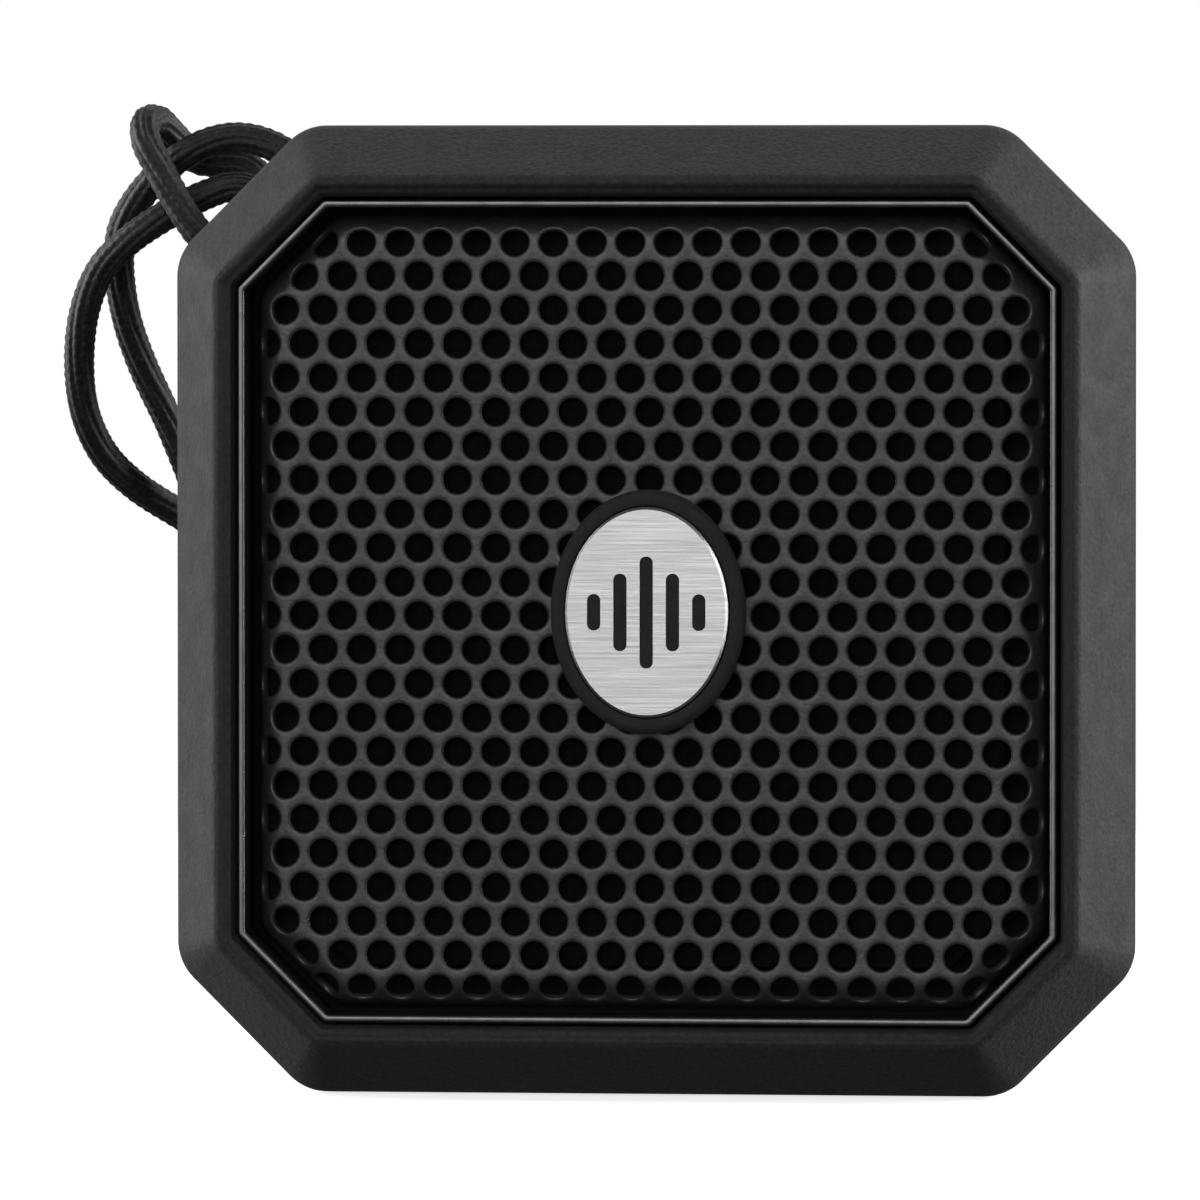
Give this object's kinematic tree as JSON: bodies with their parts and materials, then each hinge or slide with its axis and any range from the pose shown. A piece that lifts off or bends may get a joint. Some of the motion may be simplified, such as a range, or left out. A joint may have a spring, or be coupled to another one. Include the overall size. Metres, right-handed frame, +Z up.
{
  "type": "shower speaker",
  "caption": "Small square water-resistant speaker with cut corners, a perforated metal front, top buttons, a rear port flap and an elastic carrying loop.",
  "frame": {"origin": "on the surface the speaker stands on, under the middle of the housing's outline", "axes": "+Z up, the perforated front faces -Y, +X is right seen from the front"},
  "size_m": [0.1053, 0.0634, 0.0926],
  "materials": {
    "housing_rubber": "fine matte grain",
    "trim_metal": "dark polished",
    "grille_steel": "satin powder coat",
    "badge_metal": "brushed across",
    "badge_surround": "smooth matte",
    "cloth": "black woven",
    "inner_plastic": "moulded",
    "button_rubber": "soft matte",
    "panel_plastic": "fine texture",
    "clear_plastic": "clear light pipe",
    "cone_paper": "pressed cone",
    "coil": "wound copper wire",
    "spider_cloth": "corrugated",
    "steel": "zinc plated",
    "black_screw": "black zinc",
    "ferrite": "sintered",
    "board": "solder mask",
    "chip": "moulded",
    "cell_wrap": "shrink film",
    "seal_rubber": "silicone",
    "lead_cover": "insulated wire",
    "cord_braid": "braided elastic cord"
  },
  "bodies": {
    "housing": {"front_bezel": "housing_rubber", "rear_shell": "housing_rubber", "trim_ring": "trim_metal", "grille": "grille_steel", "acoustic_mesh": "cloth", "badge_base": "badge_surround", "badge_plate": "badge_metal", "baffle": "inner_plastic", "driver_gasket": "cloth", "driver_basket": "black_screw", "surround": "button_rubber", "spider": "spider_cloth", "top_plate": "steel", "magnet": "ferrite", "yoke": "steel", "housing_seal": "seal_rubber", "control_panel": "panel_plastic", "status_led": "clear_plastic", "main_board": "board", "bluetooth_module": "steel", "amplifier_chip": "chip", "microphone": "coil", "aux_jack": "chip", "usb_port": "steel", "battery_cell": "cell_wrap", "battery_cradle": "inner_plastic", "speaker_lead": "lead_cover", "battery_lead": "lead_cover", "flap_anchor": "housing_rubber", "lanyard_anchor": "inner_plastic", "lanyard_pin": "steel", "lanyard_cord": "cord_braid", "driver_screw_1": "steel", "case_screw_1": "black_screw", "driver_screw_2": "steel", "case_screw_2": "black_screw", "driver_screw_3": "steel", "case_screw_3": "black_screw", "driver_screw_4": "steel", "case_screw_4": "black_screw", "switch_power": "chip", "switch_minus": "chip", "switch_play": "chip", "switch_plus": "chip"},
    "cone_assembly": {"cone": "cone_paper", "dust_cap": "cone_paper", "voice_coil": "coil"},
    "flap": {"port_flap": "housing_rubber"},
    "power_button": {"button_power": "button_rubber"},
    "minus_button": {"button_minus": "button_rubber"},
    "play_button": {"button_play": "button_rubber"},
    "plus_button": {"button_plus": "button_rubber"}
  },
  "joints": [
    {"name": "cone_travel", "type": "slide", "parent": "housing", "child": "cone_assembly", "axis": [0, -1, 0], "range_m": [-0.0015, 0.0015], "stiffness_N_per_m": 900, "deforming": ["surround", "spider"]},
    {"name": "flap_turn", "type": "hinge", "parent": "housing", "child": "flap", "pos_m": [-0.01015, 0.0225, 0.0756], "axis": [0, 0, 1], "range_deg": [0, 110], "stiffness_Nm_per_rad": 0.0005},
    {"name": "power_press", "type": "slide", "parent": "housing", "child": "power_button", "axis": [0, -0.1219, -0.9925], "range_m": [0, 0.0007], "stiffness_N_per_m": 600},
    {"name": "minus_press", "type": "slide", "parent": "housing", "child": "minus_button", "axis": [0, -0.1219, -0.9925], "range_m": [0, 0.0007], "stiffness_N_per_m": 600},
    {"name": "play_press", "type": "slide", "parent": "housing", "child": "play_button", "axis": [0, -0.1219, -0.9925], "range_m": [0, 0.0007], "stiffness_N_per_m": 600},
    {"name": "plus_press", "type": "slide", "parent": "housing", "child": "plus_button", "axis": [0, -0.1219, -0.9925], "range_m": [0, 0.0007], "stiffness_N_per_m": 600}
  ]
}
